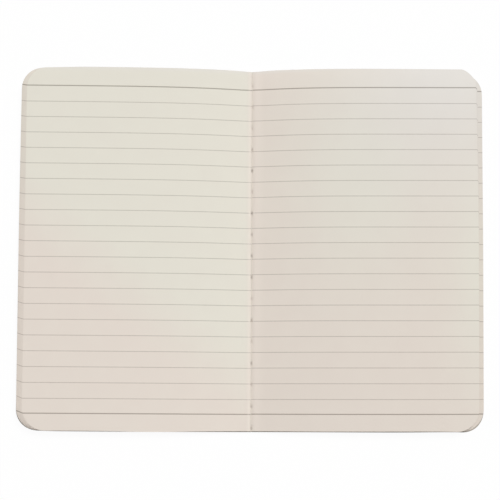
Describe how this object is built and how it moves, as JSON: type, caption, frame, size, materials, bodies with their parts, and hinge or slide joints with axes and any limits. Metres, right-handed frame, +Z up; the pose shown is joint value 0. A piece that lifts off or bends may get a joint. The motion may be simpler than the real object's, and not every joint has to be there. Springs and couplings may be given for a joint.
{
  "type": "open ruled notebook",
  "caption": "Thin sewn pocket notebook lying open at its centre sheet, with rounded corners, fanned ruled leaves and a card cover that closes on a hinge at the fold.",
  "frame": {"origin": "on the surface the notebook lies on, under the middle of its fold", "axes": "+X towards the fore-edge of the right page, +Y towards the head of the pages, +Z up"},
  "size_m": [0.18, 0.14, 0.0097],
  "materials": {
    "cover_card": "matte uncoated warm grey card",
    "page_paper": "matte cream writing paper with printed grey rules",
    "thread": "twisted cream sewing thread"
  },
  "bodies": {
    "back_half": {"back_cover": "cover_card", "right_pages": "page_paper", "sewing_thread": "thread"},
    "front_half": {"front_cover": "cover_card", "left_pages": "page_paper"}
  },
  "joints": [
    {"name": "cover_hinge", "type": "hinge", "parent": "back_half", "child": "front_half", "pos_m": [0, 0, 0.01], "axis": [0, 1, 0], "range_deg": [0, 180]}
  ]
}
